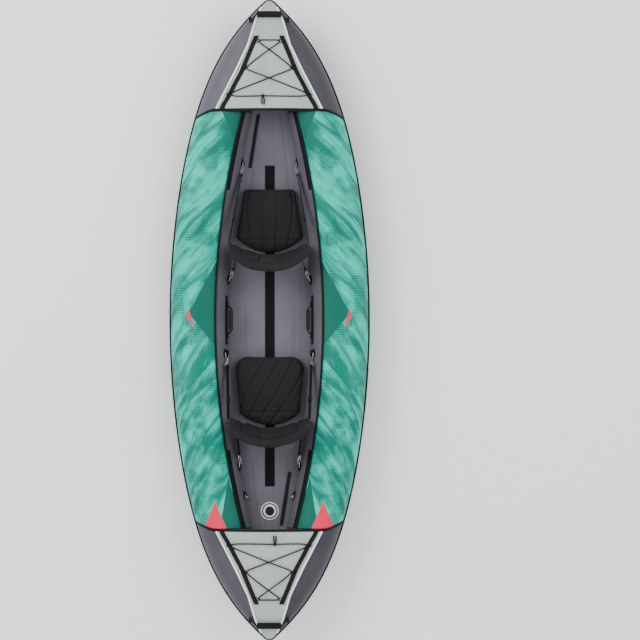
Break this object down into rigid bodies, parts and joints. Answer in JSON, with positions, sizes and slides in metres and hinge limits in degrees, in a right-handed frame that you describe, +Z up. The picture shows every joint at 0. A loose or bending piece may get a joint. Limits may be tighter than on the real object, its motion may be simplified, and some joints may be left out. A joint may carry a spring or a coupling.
{
  "type": "inflatable kayak",
  "caption": "Open-cockpit tandem inflatable kayak with cloth-covered side tubes, laced decks, inflated floor, strapped seats, handles and a clip-in fin.",
  "frame": {"origin": "on the ground under the middle of the hull, where the flat of the bottom stands", "axes": "+Y to the bow, +X to starboard, +Z up"},
  "size_m": [1.01, 3.2, 0.4229],
  "materials": {
    "green_cloth": "coated woven cloth, printed",
    "grey_cloth": "coated woven cloth",
    "deck_cloth": "coated woven cloth",
    "tarpaulin": "matt coated tarpaulin",
    "bladder": "satin film",
    "black_webbing": "ribbed webbing",
    "black_piping": "satin cord piping",
    "white_piping": "satin cord piping",
    "seat_cloth": "woven polyester",
    "foam": "closed-cell foam",
    "black_plastic": "moulded",
    "white_plastic": "moulded",
    "soft_grip": "soft grip tube",
    "steel": "bright stainless",
    "zip_tape": "woven tape and moulded teeth",
    "zip_metal": "black lacquer",
    "shock_cord": "braided sheath"
  },
  "bodies": {
    "hull": {"bow_deck": "deck_cloth", "bow_deck_binding": "black_webbing", "bow_knot": "shock_cord", "bow_lacing": "shock_cord", "bow_seat_buckles": "black_plastic", "bow_seat_foam": "foam", "bow_seat_pad": "seat_cloth", "bow_seat_straps": "black_webbing", "bow_zip": "zip_tape", "carry_patches": "black_webbing", "deck_piping": "white_piping", "deck_webbing": "black_webbing", "fin_box": "black_plastic", "floor_bladder": "bladder", "floor_cover": "grey_cloth", "floor_strip": "black_webbing", "floor_webs": "bladder", "grab_anchors": "black_webbing", "hull_bottom": "tarpaulin", "inner_piping": "black_piping", "outer_piping": "black_piping", "port_bladder": "bladder", "port_inner_panel": "grey_cloth", "port_side_panel": "green_cloth", "ring_patches": "black_webbing", "seam_bands": "black_webbing", "seat_rings": "steel", "snap_hooks": "steel", "starboard_bladder": "bladder", "starboard_inner_panel": "grey_cloth", "starboard_side_panel": "green_cloth", "stern_deck": "deck_cloth", "stern_deck_binding": "black_webbing", "stern_knot": "shock_cord", "stern_lacing": "shock_cord", "stern_seat_buckles": "black_plastic", "stern_seat_foam": "foam", "stern_seat_pad": "seat_cloth", "stern_seat_straps": "black_webbing", "stern_zip": "zip_tape", "valve_body": "white_plastic"},
    "bow_back": {"bow_backrest": "seat_cloth", "bow_backrest_foam": "foam"},
    "stern_back": {"stern_backrest": "seat_cloth", "stern_backrest_foam": "foam"},
    "bow_grab": {"bow_grab_handle": "black_webbing", "bow_grab_grip": "soft_grip"},
    "stern_grab": {"stern_grab_handle": "black_webbing", "stern_grab_grip": "soft_grip"},
    "port_carry": {"port_carry_handle": "black_webbing", "port_carry_grip": "soft_grip"},
    "starboard_carry": {"starboard_carry_handle": "black_webbing", "starboard_carry_grip": "soft_grip"},
    "bow_slider": {"bow_zip_slider": "zip_metal"},
    "stern_slider": {"stern_zip_slider": "zip_metal"},
    "cap": {"valve_cap": "black_plastic"},
    "pin": {"valve_pin": "black_plastic"},
    "port_ring": {"port_spare_ring": "steel"},
    "starboard_ring": {"starboard_spare_ring": "steel"},
    "keel_fin": {"fin": "black_plastic"}
  },
  "joints": [
    {"name": "bow_back_tilt", "type": "hinge", "parent": "hull", "child": "bow_back", "pos_m": [0, 0.33, 0.13997], "axis": [-1, 0, 0], "range_deg": [-12, 20], "deforming": ["bow_seat_straps", "bow_seat_buckles"]},
    {"name": "stern_back_tilt", "type": "hinge", "parent": "hull", "child": "stern_back", "pos_m": [0, -0.54, 0.13796], "axis": [-1, 0, 0], "range_deg": [-12, 20], "deforming": ["stern_seat_straps", "stern_seat_buckles"]},
    {"name": "bow_grab_swing", "type": "hinge", "parent": "hull", "child": "bow_grab", "pos_m": [0, 1.497, 0.29876], "axis": [1, 0, 0], "range_deg": [0, 150]},
    {"name": "stern_grab_swing", "type": "hinge", "parent": "hull", "child": "stern_grab", "pos_m": [0, -1.497, 0.29876], "axis": [-1, 0, 0], "range_deg": [0, 150]},
    {"name": "starboard_carry_swing", "type": "hinge", "parent": "hull", "child": "starboard_carry", "pos_m": [0.20953, 0, 0.21065], "axis": [0, 1, 0], "range_deg": [0, 140]},
    {"name": "port_carry_swing", "type": "hinge", "parent": "hull", "child": "port_carry", "pos_m": [-0.20953, 0, 0.21065], "axis": [0, -1, 0], "range_deg": [0, 140]},
    {"name": "bow_zip_slide", "type": "slide", "parent": "hull", "child": "bow_slider", "axis": [0.1579, 0.9844, 0.0779], "range_m": [0, 0.235]},
    {"name": "stern_zip_slide", "type": "slide", "parent": "hull", "child": "stern_slider", "axis": [-0.1579, -0.9844, 0.0779], "range_m": [0, 0.235]},
    {"name": "valve_cap_turn", "type": "hinge", "parent": "hull", "child": "cap", "pos_m": [0, -0.964, 0.10915], "axis": [0, 0.0984, 0.9952], "range_deg": [0, 90]},
    {"name": "valve_pin_press", "type": "slide", "parent": "hull", "child": "pin", "axis": [0, -0.0984, -0.9952], "range_m": [0, 0.0045], "stiffness_N_per_m": 600},
    {"name": "starboard_ring_swing", "type": "hinge", "parent": "hull", "child": "starboard_ring", "pos_m": [0.11709, -0.87864, 0.18578], "axis": [-0.2334, -0.1166, -0.9654], "range_deg": [0, 140]},
    {"name": "port_ring_swing", "type": "hinge", "parent": "hull", "child": "port_ring", "pos_m": [-0.11709, -0.87864, 0.18578], "axis": [-0.2334, 0.1166, 0.9654], "range_deg": [0, 140]},
    {"name": "fin_slide", "type": "slide", "parent": "hull", "child": "keel_fin", "axis": [0, -0.9533, 0.3021], "range_m": [0, 0.128]}
  ]
}
